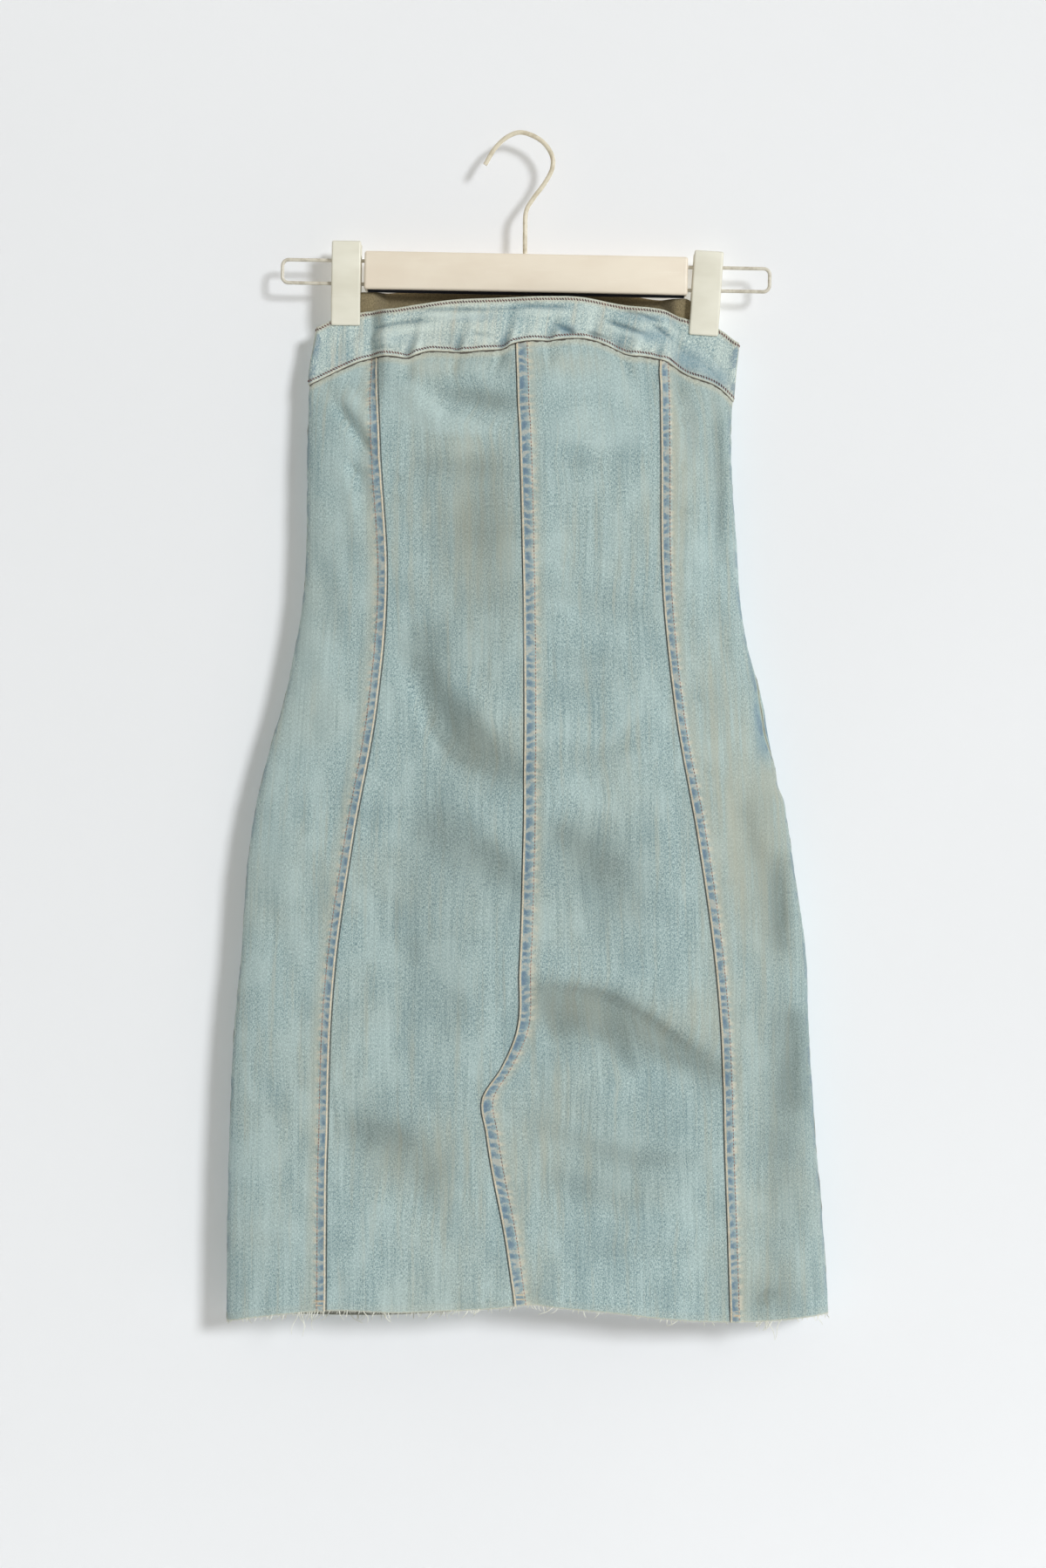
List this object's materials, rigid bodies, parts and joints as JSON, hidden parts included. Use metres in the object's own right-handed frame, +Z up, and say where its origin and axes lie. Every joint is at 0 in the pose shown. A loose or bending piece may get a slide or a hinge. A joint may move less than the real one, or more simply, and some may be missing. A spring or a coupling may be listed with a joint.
{
  "type": "strapless denim dress on clip hanger",
  "caption": "Strapless panelled denim dress with a curved top band and a raw frayed hem, pinched by the clips of a flat-bar wire hanger.",
  "frame": {"origin": "inside crown of the hanger's hook, where it rests on a rail or pin", "axes": "+Z up, +X to the right of someone who faces the dress's front, the front faces -Y"},
  "size_m": [0.4692, 0.05, 0.9273],
  "materials": {
    "denim_band": "light-wash denim, doubled, a little paler and warmer than the panels",
    "denim_panel": "light-wash denim, matte twill",
    "hook_wire": "satin pale nickel wire",
    "bar_cream": "satin cream",
    "rail_wire": "satin pale nickel wire",
    "clip_cream": "satin cream"
  },
  "bodies": {
    "root": {"band_front": "denim_band", "band_back": "denim_band", "front_side_left": "denim_panel", "front_centre_left": "denim_panel", "front_centre_right": "denim_panel", "front_side_right": "denim_panel", "back_side_left": "denim_panel", "back_centre_left": "denim_panel", "back_centre_right": "denim_panel", "back_side_right": "denim_panel", "hanger_hook": "hook_wire", "hanger_bar": "bar_cream", "hanger_rail_left": "rail_wire", "hanger_rail_right": "rail_wire", "clip_left": "clip_cream", "clip_right": "clip_cream"}
  },
  "joints": []
}
